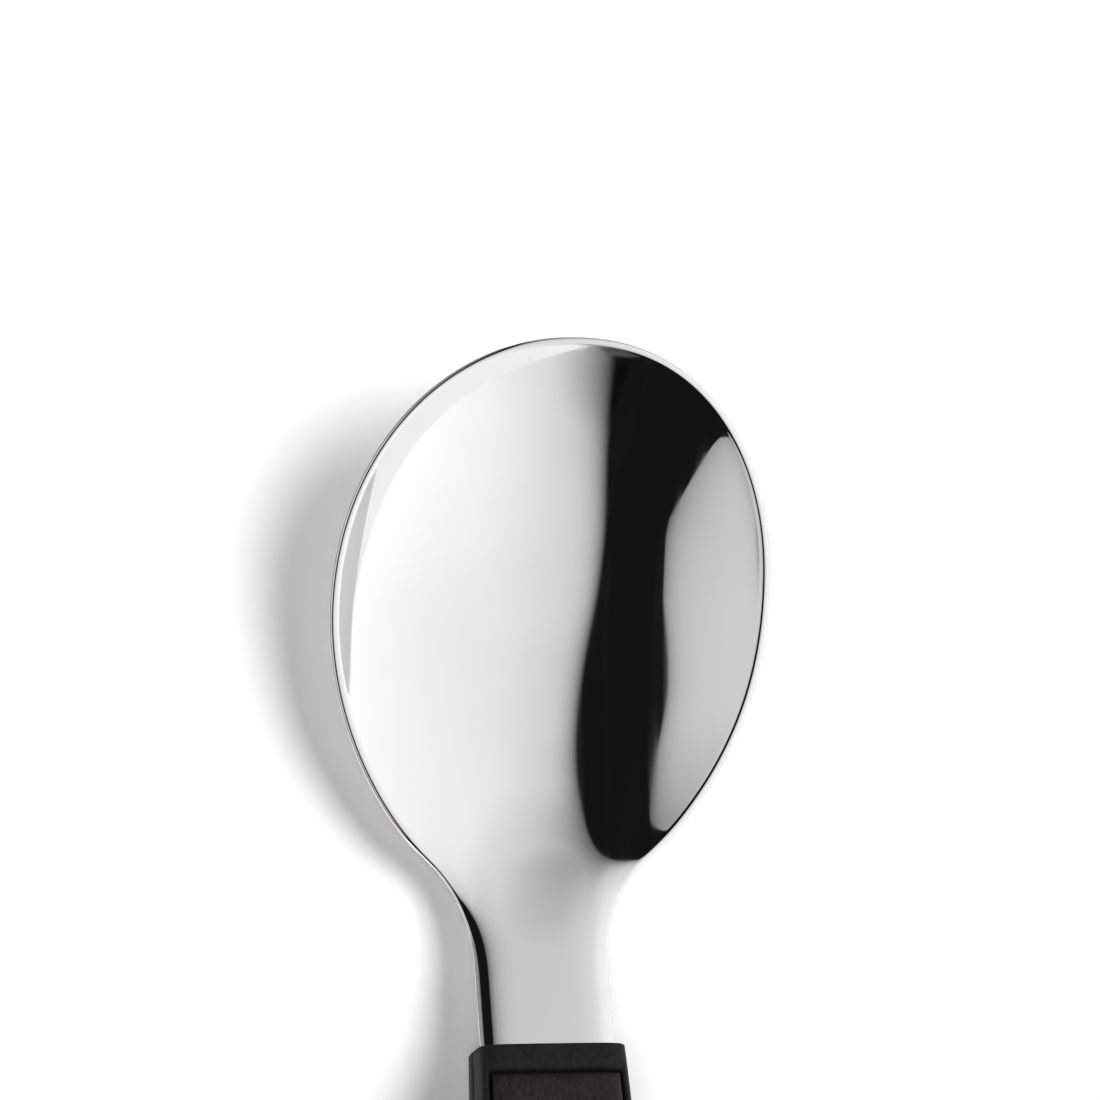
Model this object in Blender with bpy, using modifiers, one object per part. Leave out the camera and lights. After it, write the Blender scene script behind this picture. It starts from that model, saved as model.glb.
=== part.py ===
"""A right-handed spoon: a polished steel head, pinned by its tang inside a hollow handle with soft grip pads.

The spoon lies face up on a table at Z = 0, with its tip towards +Y and its handle bent to the right.
Lengths are in metres. Y is measured from the mouth of the handle's collar along the head, and the letter s
is the distance back from that mouth along the handle's middle line.
"""

import math

import bmesh
import bpy
from mathutils import Matrix, Vector

# Clearance between neighbouring pieces, and how far a cutter reaches past the wall that it cuts.
GAP = 0.0003
CUT = 0.0010

# Steel sheet: full thickness through neck and tang, rolled thinner in the bowl.
NECK_SHEET = 0.0020
BOWL_SHEET = 0.0008

# Plan of the head. A fullness of 2 would make the tip half an ellipse.
BOWL_WIDTH = 0.0432
TIP_REACH = 0.0250
TIP_FULLNESS = 2.12
HEEL_RADIUS = 0.0353
NECK_FILLET = 0.0134
NECK_WIDTH = 0.0136
NECK_LENGTH = 0.0088

# Side view of the head: the neck falls from the collar, and the rim then sweeps up to the tip.
NECK_RISE = math.radians(16.0)
NECK_BEND = 0.0062
RIM_SLOPE = math.radians(1.83)
RIM_RADIUS = 0.131
BOWL_DEPTH = 0.0080
BOWL_FLATNESS = 0.20
HEEL_BLEND = 0.0160
NECK_CROWN = 0.00045
CROWN_POWER = 5

# Tang: narrower than the neck, whose shoulder stops a clearance short of the collar.
TANG_WIDTH = 0.0092
TANG_LENGTH = 0.0460
SHOULDER_RUN = 0.0002

# Middle line of the handle: it levels out behind the collar, and bends to the right in plan.
HANDLE_LENGTH = 0.1300
LEVEL_RUN = 0.0250
BEND_LEAD = 0.0080
BEND_RADIUS = 0.1100
BEND_ANGLE = math.radians(20.0)

# Handle sections: a flat collar that swells to a round palm and closes in a rounded butt.
COLLAR_LIP = 0.0006
COLLAR_COVER = 0.0023
COLLAR_EDGE = 0.00025
COLLAR_FLARE = math.radians(2.0)
COLLAR_SQUARENESS = 6.0
PALM_AT = 0.0720
PALM_WIDTH = 0.0260
PALM_TOP = 0.0115
PALM_SQUARENESS = 2.5
BUTT_WIDTH = 0.0224
BUTT_ROUND = 0.0120
BUTT_TURN = math.radians(70.0)
WALL = 0.0022

# Soft pads, let into pockets on the top and the underside of the handle.
PAD_START = 0.0023
PAD_BEFORE_BUTT = 0.0140
PAD_END_ROUND = 0.0080
PAD_PROUD = 0.0008
POCKET_DEPTH = 0.0010
PAD_INSET_COLLAR = 0.0011
PAD_INSET_PALM = 0.0036
REST_SINK = 0.0006

# Inside the handle: seal, dowel pins, and ribs between the hollows.
SEAL_AT = 0.0035
SEAL_THICKNESS = 0.0020
SEAL_SIDE = 0.0010
SEAL_COVER = 0.0005
PIN_DIAMETER = 0.0035
PIN_COVER = 0.0007
PIN_FRONT_AT = 0.0180
PIN_REAR_AT = 0.0380
PIN_BLOCK = 0.0100
RIB = 0.0020
REAR_HOLLOWS = 4

# Mesh resolution, and the number of steps in which the bowl's lowest point is found.
LOWEST_SAMPLES = 400
HEAD_COLUMNS = 16
BOWL_ROWS = 26
TANG_ROWS = 10
HALF_RING = 16
HANDLE_RINGS = 18
RING_CROWDING = 1.3
BUTT_RINGS = 5
HOLLOW_RINGS = 3
PAD_COLUMNS = 10
PAD_ROWS = 20
PIN_SIDES = 24
TIP_CORNER = math.radians(40.0)

HALF_BOWL = BOWL_WIDTH / 2
HALF_NECK = NECK_WIDTH / 2
HALF_TANG = TANG_WIDTH / 2

# Tangency of the heel arc and the neck fillet sets how far the widest point lies from the collar.
HEEL_SPAN = math.sqrt(
    (HEEL_RADIUS + NECK_FILLET) ** 2 - (HALF_NECK + NECK_FILLET - HALF_BOWL + HEEL_RADIUS) ** 2
)
WIDEST_Y = NECK_LENGTH + HEEL_SPAN
TIP_Y = WIDEST_Y + TIP_REACH
HEEL_TANGENT_Y = NECK_LENGTH + HEEL_SPAN * NECK_FILLET / (HEEL_RADIUS + NECK_FILLET)

# The neck leans, so its upper face reaches the collar's plane a little in front of the mouth.
SHOULDER_Y = GAP + NECK_SHEET / 2 * math.sin(NECK_RISE)


def smooth(value):
    """A ramp from 0 to 1 that starts and ends level."""
    value = min(max(value, 0.0), 1.0)
    return value * value * (3 - 2 * value)


def mix(first, second, share):
    return first + (second - first) * share


def tip_curve(turn):
    """A point of the tip's outline, from the widest point (turn 0) to the tip (a quarter turn)."""
    power = 2 / TIP_FULLNESS
    return HALF_BOWL * math.cos(turn) ** power, WIDEST_Y + TIP_REACH * math.sin(turn) ** power


def half_width(y):
    """Half the width of the steel at y, from the end of the tang to the row that carries the tip."""
    if y >= WIDEST_Y:
        reach = min((y - WIDEST_Y) / TIP_REACH, 1.0)
        return HALF_BOWL * (1 - reach**TIP_FULLNESS) ** (1 / TIP_FULLNESS)
    if y >= HEEL_TANGENT_Y:
        return HALF_BOWL - HEEL_RADIUS + math.sqrt(HEEL_RADIUS**2 - (WIDEST_Y - y) ** 2)
    if y >= NECK_LENGTH:
        return HALF_NECK + NECK_FILLET - math.sqrt(NECK_FILLET**2 - (y - NECK_LENGTH) ** 2)
    narrowing = min(max((SHOULDER_Y - y) / SHOULDER_RUN, 0.0), 1.0)
    return mix(HALF_NECK, HALF_TANG, narrowing)


def side_line(y):
    """Height of the side line over the collar mouth: straight neck, bend, then the sweep of the rim."""
    neck_slope = -math.tan(NECK_RISE)
    rim_slope = math.tan(RIM_SLOPE)
    if y < NECK_LENGTH:
        return neck_slope * y
    bend = min(y - NECK_LENGTH, NECK_BEND)
    height = neck_slope * (NECK_LENGTH + bend) + (rim_slope - neck_slope) * bend**2 / (2 * NECK_BEND)
    sweep = max(y - NECK_LENGTH - NECK_BEND, 0.0)
    return height + rim_slope * sweep + sweep**2 / (2 * RIM_RADIUS)


def bowl_depth(y):
    """Depth of the bowl's middle under the side line. Both halves curve alike at the widest point."""
    if y >= WIDEST_Y:
        return BOWL_DEPTH * (1 - ((y - WIDEST_Y) / TIP_REACH) ** 2)
    heel = min((WIDEST_Y - y) / (math.sqrt(2) * TIP_REACH), 1.0)
    return BOWL_DEPTH * (1 - heel**2) ** 2


def cross_rise(across, y):
    """Height of the upper face over its middle line: dished in the bowl, crowned at the edges of the neck."""
    dish = BOWL_DEPTH / (HALF_BOWL**2 * (1 + BOWL_FLATNESS))
    dish *= smooth((y - NECK_LENGTH) / HEEL_BLEND)
    rise = dish * across**2 * (1 + BOWL_FLATNESS * (across / HALF_BOWL) ** 2)
    crown = NECK_CROWN * (1 - smooth((y - NECK_LENGTH) / (HEEL_BLEND / 2)))
    return rise - crown * abs(across / max(half_width(y), HALF_NECK)) ** CROWN_POWER


# The bowl's underside rests on the table, which fixes the height of the collar and of the level handle.
BOWL_STEPS = [TIP_Y * i / LOWEST_SAMPLES for i in range(LOWEST_SAMPLES)]
UPPER_FACE = NECK_SHEET / 2 / math.cos(NECK_RISE)
COLLAR_HEIGHT = BOWL_SHEET - UPPER_FACE - min(side_line(y) - bowl_depth(y) for y in BOWL_STEPS)
LEVEL_RADIUS = LEVEL_RUN / math.sin(NECK_RISE)
LEVEL_HEIGHT = COLLAR_HEIGHT + LEVEL_RADIUS * (1 - math.cos(NECK_RISE))

# The lower pad would sink a little way into the table, and is cut flat there to rest on it.
PALM_BOTTOM = LEVEL_HEIGHT - PAD_PROUD + REST_SINK
COLLAR_HALF_WIDTH = HALF_NECK + COLLAR_LIP
COLLAR_HALF_HEIGHT = NECK_SHEET / 2 + COLLAR_COVER
PAD_END = HANDLE_LENGTH - PAD_BEFORE_BUTT


def pitch(s):
    return math.asin(min(max(LEVEL_RUN - s, 0.0) / LEVEL_RADIUS, math.sin(NECK_RISE)))


def station(s):
    """Frame of the handle's middle line at s: point, axis to the right, axis up and axis back to the butt."""
    turn = min(max(s - BEND_LEAD, 0.0) / BEND_RADIUS, BEND_ANGLE)
    straight = min(s, BEND_LEAD)
    rest = max(s - BEND_LEAD - BEND_RADIUS * BEND_ANGLE, 0.0)
    x = BEND_RADIUS * (1 - math.cos(turn)) + rest * math.sin(turn)
    y = -straight - BEND_RADIUS * math.sin(turn) - rest * math.cos(turn)
    slope = pitch(s)
    z = LEVEL_HEIGHT - LEVEL_RADIUS * (1 - math.cos(slope))
    if s < 0:
        z = COLLAR_HEIGHT + s * math.tan(NECK_RISE)
    right = Vector((math.cos(turn), math.sin(turn), 0))
    back = Vector((math.sin(turn) * math.cos(slope), -math.cos(turn) * math.cos(slope), math.sin(slope)))
    return Vector((x, y, z)), right, back.cross(right), back


def station_matrix(s):
    """Placement at s, with local X to the right, Y towards the tip and Z square to the tang."""
    point, right, up, back = station(s)
    return Matrix.Translation(point) @ Matrix((right, -back, up)).transposed().to_4x4()


def head_point(across, y):
    """A point of the steel's upper face."""
    if y > 0:
        base = COLLAR_HEIGHT + UPPER_FACE + side_line(y) - bowl_depth(y)
        return Vector((across, y, base + cross_rise(across, y)))
    point, right, _, _ = station(-y)
    lift = NECK_SHEET / 2 / math.cos(pitch(-y)) + cross_rise(across, y)
    return point + right * across + Vector((0, 0, lift))


def swell(s, collar, palm):
    """A half size of the handle at s: it flares from collar to palm, tapers, and rounds off at the butt."""
    if s < PALM_AT:
        u = s / PALM_AT
        size = mix(collar, palm, smooth(u)) + math.tan(COLLAR_FLARE) * s * (1 - u) ** 2
    else:
        taper = smooth((s - PALM_AT) / (HANDLE_LENGTH - PALM_AT))
        size = palm * mix(1.0, BUTT_WIDTH / PALM_WIDTH, taper)
    closing = max(s - HANDLE_LENGTH + BUTT_ROUND, 0.0) / BUTT_ROUND
    return size * math.sqrt(1 - (closing * math.sin(BUTT_TURN)) ** 2)


def section(s, side):
    """Half width, half height and squareness of the handle at s, on its upper (1) or lower (-1) side."""
    width = swell(s, COLLAR_HALF_WIDTH, PALM_WIDTH / 2)
    height = swell(s, COLLAR_HALF_HEIGHT, PALM_TOP if side > 0 else PALM_BOTTOM)
    return width, height, mix(COLLAR_SQUARENESS, PALM_SQUARENESS, smooth(s / PALM_AT))


def half_ring(s, side, grow, foot):
    """Outline of one half of the handle at s, grown by a margin, on a foot near the tang's plane."""
    point, right, up, _ = station(s)
    width, height, squareness = section(s, side)
    power = 2 / squareness
    ring = []
    for i in range(HALF_RING + 1):
        turn = math.pi * i / HALF_RING
        across = math.copysign(abs(math.cos(turn)) ** power, math.cos(turn)) * (width + grow)
        rise = foot + (height + grow - foot) * abs(math.sin(turn)) ** power
        ring.append(point + right * across + up * side * rise)
    return ring


def pad_point(side, across, along, margin, lift):
    """A point over the handle's skin, on the pad's outline grown by a margin and raised by a lift."""
    run = PAD_END - PAD_END_ROUND - PAD_START
    s = PAD_START - margin + (run + margin) * along
    s += (PAD_END_ROUND + margin) * along**3 * (1 - across**2)
    width, height, squareness = section(s, side)
    inset = mix(PAD_INSET_COLLAR, PAD_INSET_PALM, smooth(s / PALM_AT))
    lateral = across * (width - inset + margin)
    skin = height * (1 - min(abs(lateral) / width, 1.0) ** squareness) ** (1 / squareness)
    point, right, up, _ = station(s)
    return point + right * lateral + up * side * (skin + lift)


def material(name, colour, roughness, metallic):
    made = bpy.data.materials.new(name)
    made.use_nodes = True
    shader = made.node_tree.nodes["Principled BSDF"]
    shader.inputs["Base Color"].default_value = (*colour, 1)
    shader.inputs["Roughness"].default_value = roughness
    shader.inputs["Metallic"].default_value = metallic
    return made


def add_object(name, shape, group):
    """Turn a bmesh into an object of the parts or of the cutters."""
    mesh = bpy.data.meshes.new(name)
    shape.to_mesh(mesh)
    shape.free()
    made = bpy.data.objects.new(name, mesh)
    made.parent = spoon
    group.objects.link(made)
    if group is cutters:
        made.hide_render = True
        made.display_type = "WIRE"
    return made


def finish(made, look, sharp=math.radians(35.0)):
    made.data.materials.append(look)
    made.data.shade_smooth()
    made.data.set_sharp_from_angle(angle=sharp)


def cut(made, cutter):
    modifier = made.modifiers.new(cutter.name, "BOOLEAN")
    modifier.operation = "DIFFERENCE"
    modifier.object = cutter


def thicken(made, thickness, offset):
    modifier = made.modifiers.new("thickness", "SOLIDIFY")
    modifier.thickness = thickness
    modifier.offset = offset
    return modifier


def grid_surface(name, columns, rows, place, group):
    """A grid bent into a surface: place gets each point's share across (-1 to 1) and along (0 to 1)."""
    shape = bmesh.new()
    bmesh.ops.create_grid(shape, x_segments=columns, y_segments=rows, size=1)
    for vertex in shape.verts:
        vertex.co = place(vertex.co.x, (vertex.co.y + 1) / 2)
    return add_object(name, shape, group)


def loft(name, rings, group):
    """Skin a row of closed outlines and cap both ends."""
    shape = bmesh.new()
    loops = [[shape.verts.new(point) for point in ring] for ring in rings]
    for near, far in zip(loops, loops[1:]):
        for i in range(len(near)):
            j = (i + 1) % len(near)
            shape.faces.new((near[i], near[j], far[j], far[i]))
    shape.faces.new(loops[0])
    shape.faces.new(loops[-1])
    bmesh.ops.recalc_face_normals(shape, faces=shape.faces)
    return add_object(name, shape, group)


def block(name, size, matrix, group):
    shape = bmesh.new()
    bmesh.ops.create_cube(shape, size=1, matrix=matrix @ Matrix.Diagonal((*size, 1)))
    return add_object(name, shape, group)


def cylinder(name, radius, length, matrix, group):
    shape = bmesh.new()
    bmesh.ops.create_cone(
        shape, cap_ends=True, segments=PIN_SIDES, radius1=radius, radius2=radius, depth=length
    )
    made = add_object(name, shape, group)
    made.matrix_local = matrix
    return made


def head_rows():
    """Y of each row's ends, from the tang's end over the shoulder to the corners of the tip."""
    tang_end = SHOULDER_Y - SHOULDER_RUN
    last = tip_curve(TIP_CORNER)[1]
    rows = [mix(-TANG_LENGTH, tang_end, i / TANG_ROWS) for i in range(TANG_ROWS + 1)]
    return rows + [mix(SHOULDER_Y, last, i / BOWL_ROWS) for i in range(BOWL_ROWS + 1)]


def head_surface():
    """The upper face. Its rows bulge towards the tip, and the last one is the tip's own outline."""
    rows = head_rows()
    corner_x, corner_y = tip_curve(TIP_CORNER)

    def place(across, along):
        y = rows[round(along * (len(rows) - 1))]
        turn = mix(math.pi / 2, TIP_CORNER, abs(across))
        tip_x, tip_y = tip_curve(turn)
        share = math.copysign(tip_x / corner_x, across)
        bulge = max(y / corner_y, 0.0) ** 2
        return head_point(share * half_width(y), y + bulge * (tip_y - corner_y))

    return grid_surface("spoon_head", HEAD_COLUMNS, len(rows) - 1, place, parts)


def make_spoon_head(bores, look):
    """Bowl, neck and tang, stamped from one sheet, with a hole in the tang for each pin."""
    head = head_surface()
    sheet = head.vertex_groups.new(name="sheet")
    for vertex in head.data.vertices:
        share = smooth((vertex.co.y - NECK_LENGTH) / HEEL_BLEND)
        sheet.add([vertex.index], mix(1.0, BOWL_SHEET / NECK_SHEET, share), "REPLACE")
    thicken(head, NECK_SHEET, -1).vertex_group = sheet.name
    for bore in bores:
        cut(head, bore)
    finish(head, look)


def make_slot_cutter():
    """Room for the tang, with the clearance all round it."""

    def place(across, along):
        y = mix(-TANG_LENGTH - GAP, CUT, along)
        return head_point(across * (HALF_TANG + GAP), y) + Vector((0, 0, GAP))

    slot = grid_surface("tang_slot", HEAD_COLUMNS // 2, TANG_ROWS, place, cutters)
    thicken(slot, NECK_SHEET + 2 * GAP, -1)
    return slot


def make_seal(slot, look):
    """Elastomer frame round the tang, which keeps dishwater out of the hollow handle."""
    matrix = station_matrix(SEAL_AT + SEAL_THICKNESS / 2)
    width = TANG_WIDTH + 2 * (GAP + SEAL_SIDE)
    height = NECK_SHEET + 2 * (GAP + SEAL_COVER)
    seal = block("neck_seal", (width, SEAL_THICKNESS, height), matrix, parts)
    cut(seal, slot)
    finish(seal, look)
    room = (width + 2 * GAP, SEAL_THICKNESS + 2 * GAP, height + 2 * GAP)
    return block("seal_groove", room, matrix, cutters)


def make_pin(name, at, look):
    """Dowel that locks the tang to both halves of the handle, with the bore that it sits in."""
    matrix = station_matrix(at)
    length = 2 * (section(PIN_FRONT_AT, 1)[1] - POCKET_DEPTH - GAP - PIN_COVER)
    pin = cylinder(name, PIN_DIAMETER / 2, length, matrix, parts)
    finish(pin, look)
    return cylinder(name + "_bore", PIN_DIAMETER / 2 + GAP, length + 2 * GAP, matrix, cutters)


def hollows():
    """Start and end of each hollow along the handle: one between the pin blocks, the rest between ribs."""
    first = (PIN_FRONT_AT + PIN_BLOCK / 2, PIN_REAR_AT - PIN_BLOCK / 2)
    start = PIN_REAR_AT + PIN_BLOCK / 2
    step = (HANDLE_LENGTH - BUTT_ROUND - start + RIB) / REAR_HOLLOWS
    starts = [start + i * step for i in range(REAR_HOLLOWS)]
    return [first] + [(begin, begin + step - RIB) for begin in starts]


def handle_stations():
    """Distances back of the handle's outlines: close together at the collar's edge and round the butt."""
    straight = HANDLE_LENGTH - BUTT_ROUND
    rings = [mix(COLLAR_EDGE, straight, (i / HANDLE_RINGS) ** RING_CROWDING) for i in range(HANDLE_RINGS + 1)]
    for i in range(1, BUTT_RINGS + 1):
        closing = math.sin(BUTT_TURN * i / BUTT_RINGS) / math.sin(BUTT_TURN)
        rings.append(straight + BUTT_ROUND * closing)
    return rings


def make_shell(name, side, shared_cutters, pocket, look):
    """One half of the hollow handle, from the tang's plane outwards."""
    rings = [half_ring(0.0, side, -COLLAR_EDGE, GAP / 2)]
    rings += [half_ring(s, side, 0.0, GAP / 2) for s in handle_stations()]
    shell = loft(name, rings, parts)
    for number, (start, end) in enumerate(hollows()):
        steps = [mix(start, end, i / HOLLOW_RINGS) for i in range(HOLLOW_RINGS + 1)]
        hollow = loft(f"{name}_hollow_{number}", [half_ring(s, side, -WALL, -CUT) for s in steps], cutters)
        cut(shell, hollow)
    for cutter in (*shared_cutters, pocket):
        cut(shell, cutter)
    finish(shell, look)


def make_table_cutter():
    """Everything under the table top, which cuts the lower pad's resting face."""
    reach = 2 * (HANDLE_LENGTH + TIP_Y)
    return block("table", (reach, reach, reach), Matrix.Translation((0, 0, -reach / 2)), cutters)


def pad_sheet(name, side, margin, thickness, group):
    """A sheet that follows the handle's skin over the pad's outline, thickened inwards."""

    def place(across, along):
        return pad_point(side, across, 1 - along, margin, PAD_PROUD)

    sheet = grid_surface(name, PAD_COLUMNS, PAD_ROWS, place, group)
    thicken(sheet, thickness, -side)
    return sheet


def make_pad(name, side, look):
    """Soft pad that stands proud of the handle's skin, and the pocket that holds it."""
    pad = pad_sheet(name, side, 0.0, PAD_PROUD + POCKET_DEPTH - GAP, parts)
    if side < 0:
        cut(pad, make_table_cutter())
    finish(pad, look)
    return pad_sheet(name + "_pocket", side, GAP, PAD_PROUD + POCKET_DEPTH, cutters)


def stand_on_origin():
    """Move the spoon so that the origin is under the middle of its box."""
    bpy.context.view_layer.update()
    graph = bpy.context.evaluated_depsgraph_get()
    corners = []
    for made in parts.objects:
        if made.type == "MESH":
            evaluated = made.evaluated_get(graph)
            corners += [evaluated.matrix_world @ Vector(corner) for corner in evaluated.bound_box]
    for axis in (0, 1):
        low = min(corner[axis] for corner in corners)
        high = max(corner[axis] for corner in corners)
        spoon.location[axis] = -(low + high) / 2


for old in list(bpy.data.objects):
    bpy.data.objects.remove(old)

parts = bpy.data.collections.new("right_handed_spoon")
cutters = bpy.data.collections.new("cutters")
for made_group in (parts, cutters):
    bpy.context.scene.collection.children.link(made_group)
spoon = bpy.data.objects.new("spoon", None)
parts.objects.link(spoon)

polished_steel = material("polished_steel", (0.80, 0.80, 0.79), 0.06, 1.0)
dowel_steel = material("dowel_steel", (0.60, 0.60, 0.60), 0.30, 1.0)
black_plastic = material("black_plastic", (0.022, 0.021, 0.020), 0.55, 0.0)
black_grip = material("black_grip", (0.020, 0.019, 0.018), 0.75, 0.0)
seal_rubber = material("seal_rubber", (0.035, 0.035, 0.035), 0.80, 0.0)

pin_bores = [
    make_pin("tang_pin_front", PIN_FRONT_AT, dowel_steel),
    make_pin("tang_pin_rear", PIN_REAR_AT, dowel_steel),
]
make_spoon_head(pin_bores, polished_steel)
tang_slot = make_slot_cutter()
seal_groove = make_seal(tang_slot, seal_rubber)
upper_pocket = make_pad("upper_grip_pad", 1, black_grip)
lower_pocket = make_pad("lower_grip_pad", -1, black_grip)
inner_cutters = (tang_slot, seal_groove, *pin_bores)
make_shell("upper_shell", 1, inner_cutters, upper_pocket, black_plastic)
make_shell("lower_shell", -1, inner_cutters, lower_pocket, black_plastic)
stand_on_origin()
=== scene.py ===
# %% [markdown]
# A right-handed spoon, dressed for the camera.
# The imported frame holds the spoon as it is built: a stamped steel head whose tang is pinned between two
# moulded half shells, with a soft pad let into each shell. Those solids have the right sizes, but coarse
# faces. Here every piece that can be seen is made again with a fine surface, from the same sizes, in the
# same place.

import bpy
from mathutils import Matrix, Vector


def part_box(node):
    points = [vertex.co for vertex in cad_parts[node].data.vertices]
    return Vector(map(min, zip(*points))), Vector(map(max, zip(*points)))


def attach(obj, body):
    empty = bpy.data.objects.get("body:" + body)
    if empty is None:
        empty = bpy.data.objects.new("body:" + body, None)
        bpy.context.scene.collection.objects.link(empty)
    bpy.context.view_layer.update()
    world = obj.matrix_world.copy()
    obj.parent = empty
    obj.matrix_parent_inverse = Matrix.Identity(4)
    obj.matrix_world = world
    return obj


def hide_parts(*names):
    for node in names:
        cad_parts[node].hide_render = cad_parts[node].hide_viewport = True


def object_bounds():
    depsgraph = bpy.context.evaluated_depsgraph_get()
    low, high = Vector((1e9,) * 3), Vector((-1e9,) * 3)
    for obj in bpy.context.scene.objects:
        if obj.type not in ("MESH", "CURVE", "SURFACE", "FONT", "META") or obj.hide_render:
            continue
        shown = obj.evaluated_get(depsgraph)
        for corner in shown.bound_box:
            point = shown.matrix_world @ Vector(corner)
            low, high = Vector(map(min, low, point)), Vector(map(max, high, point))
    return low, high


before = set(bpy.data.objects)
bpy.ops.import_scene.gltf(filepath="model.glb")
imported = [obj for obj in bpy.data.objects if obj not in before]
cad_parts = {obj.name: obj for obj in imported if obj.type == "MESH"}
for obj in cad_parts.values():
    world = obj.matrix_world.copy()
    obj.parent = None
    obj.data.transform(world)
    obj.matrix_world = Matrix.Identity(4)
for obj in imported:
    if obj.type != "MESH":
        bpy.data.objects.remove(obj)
cad_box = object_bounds()
print("nodes in the frame:", ", ".join(sorted(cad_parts)))

# %% Tools used throughout
import math

import bmesh
import bpy
from mathutils import Matrix, Vector
from mathutils.kdtree import KDTree

MM = 0.001


def mix(first, second, share):
    return first + (second - first) * share


def smooth(value):
    """A ramp from 0 to 1 that starts and ends level."""
    value = min(max(value, 0.0), 1.0)
    return value * value * (3 - 2 * value)


def even_steps(first, last, count):
    """Numbers from first to last, count steps apart, with both ends."""
    return [mix(first, last, i / count) for i in range(count + 1)]


print("lengths are written in units of", MM, "m")

# %% [markdown]
# Plan of the head.
# Seen from above, the steel is a round-ended bowl that runs into a flat neck. Its outline could be traced
# point by point, but four simple curves describe it better: half a superellipse for the tip, an arc for the
# heel, a smaller arc turned the other way for the fillet, and straight sides for the neck. Each runs into
# the next without a corner, so the heel's centre follows from the two radii.

# %% Outline of the head
BOWL_WIDTH = 43.2 * MM
TIP_REACH = 25.0 * MM
TIP_FULLNESS = 2.12
HEEL_RADIUS = 35.3 * MM
NECK_FILLET = 13.4 * MM
NECK_WIDTH = 13.6 * MM
NECK_LENGTH = 8.8 * MM
TANG_WIDTH = 9.2 * MM
TANG_LENGTH = 46.0 * MM
SHOULDER = -0.9 * MM
SHOULDER_RUN = 3.0 * MM
HALF_BOWL = BOWL_WIDTH / 2
HALF_NECK = NECK_WIDTH / 2
HALF_TANG = TANG_WIDTH / 2
HEEL_SPAN = math.sqrt(
    (HEEL_RADIUS + NECK_FILLET) ** 2 - (HALF_NECK + NECK_FILLET - HALF_BOWL + HEEL_RADIUS) ** 2
)
WIDEST_Y = NECK_LENGTH + HEEL_SPAN
TIP_Y = WIDEST_Y + TIP_REACH
HEEL_TANGENT_Y = NECK_LENGTH + HEEL_SPAN * NECK_FILLET / (HEEL_RADIUS + NECK_FILLET)


def half_width(y):
    """Half the width of the steel, y in front of the handle's mouth."""
    if y >= WIDEST_Y:
        reach = min((y - WIDEST_Y) / TIP_REACH, 1.0)
        return HALF_BOWL * (1 - reach**TIP_FULLNESS) ** (1 / TIP_FULLNESS)
    if y >= HEEL_TANGENT_Y:
        return HALF_BOWL - HEEL_RADIUS + math.sqrt(HEEL_RADIUS**2 - (WIDEST_Y - y) ** 2)
    if y >= NECK_LENGTH:
        return HALF_NECK + NECK_FILLET - math.sqrt(NECK_FILLET**2 - (y - NECK_LENGTH) ** 2)
    return mix(HALF_NECK, HALF_TANG, smooth((SHOULDER - y) / SHOULDER_RUN))


def tip_line(x):
    """Y of the tip's outline, x to the side of the middle."""
    return WIDEST_Y + TIP_REACH * (1 - abs(x / HALF_BOWL) ** TIP_FULLNESS) ** (1 / TIP_FULLNESS)


print(f"the bowl is widest {WIDEST_Y / MM:.1f} mm from the mouth, the tip is at {TIP_Y / MM:.1f} mm")

# %% [markdown]
# Side view and hollow of the head.
# A press could be simulated, but the finished sheet is easy to describe: the neck slopes down from the
# handle, bends level, and the rim then sweeps up to the tip. The bowl hangs under that line and is dished
# from side to side. Its heel dips a little and has fuller flanks, and the neck's edges are crowned, which
# draws a dark line along them. Where two of these formulas meet, the curvature jumps, and a mirror shows
# such a jump as a kink, so the height is averaged over a short stretch.

# %% Sizes of the side view
NECK_SHEET = 2.0 * MM
BOWL_SHEET = 0.8 * MM
NECK_RISE = math.radians(16.0)
NECK_BEND = 6.2 * MM
RIM_SLOPE = math.radians(1.83)
RIM_RADIUS = 131.0 * MM
BOWL_DEPTH = 8.0 * MM
BOWL_FLATNESS = 0.173
WALL_STEEPNESS = 0.05
HEEL_BLEND = 12.5 * MM
HEEL_FLANK = 0.7 * MM
HEEL_FLANK_REACH = 10.0 * MM
HEEL_FLANK_RIM = 0.2
HEEL_FLANK_SPAN = (12.0 * MM, 28.0 * MM, 46.0 * MM)
HEEL_DIP = 0.65 * MM
HEEL_DIP_SPAN = (11.0 * MM, 20.5 * MM, 36.0 * MM)
DISH = 0.0143 / MM
NECK_CROWN = 0.60 * MM
CROWN_POWER = 5.5
CROWN_END = 14.8 * MM
CROWN_FADE = 6.0 * MM
EASE = 1.6 * MM
EASE_STEPS = even_steps(-EASE, EASE, 6)
print(f"the bowl is {BOWL_DEPTH / MM:.1f} mm deep, its heel dips {HEEL_DIP / MM:.2f} mm further")

# %% Height of the steel


def side_line(y):
    """Height of the head's side line over the mouth: straight neck, bend, then the sweep of the rim."""
    neck_slope = -math.tan(NECK_RISE)
    rim_slope = math.tan(RIM_SLOPE)
    if y < NECK_LENGTH:
        return neck_slope * y
    bend = min(y - NECK_LENGTH, NECK_BEND)
    height = neck_slope * (NECK_LENGTH + bend) + (rim_slope - neck_slope) * bend**2 / (2 * NECK_BEND)
    sweep = max(y - NECK_LENGTH - NECK_BEND, 0.0)
    return height + rim_slope * sweep + sweep**2 / (2 * RIM_RADIUS)


def bowl_depth(y):
    """Depth of the bowl's middle under the side line."""
    if y >= WIDEST_Y:
        return BOWL_DEPTH * (1 - ((y - WIDEST_Y) / TIP_REACH) ** 2)
    heel = min((WIDEST_Y - y) / (math.sqrt(2) * TIP_REACH), 1.0)
    return BOWL_DEPTH * (1 - heel**2) ** 2


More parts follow.
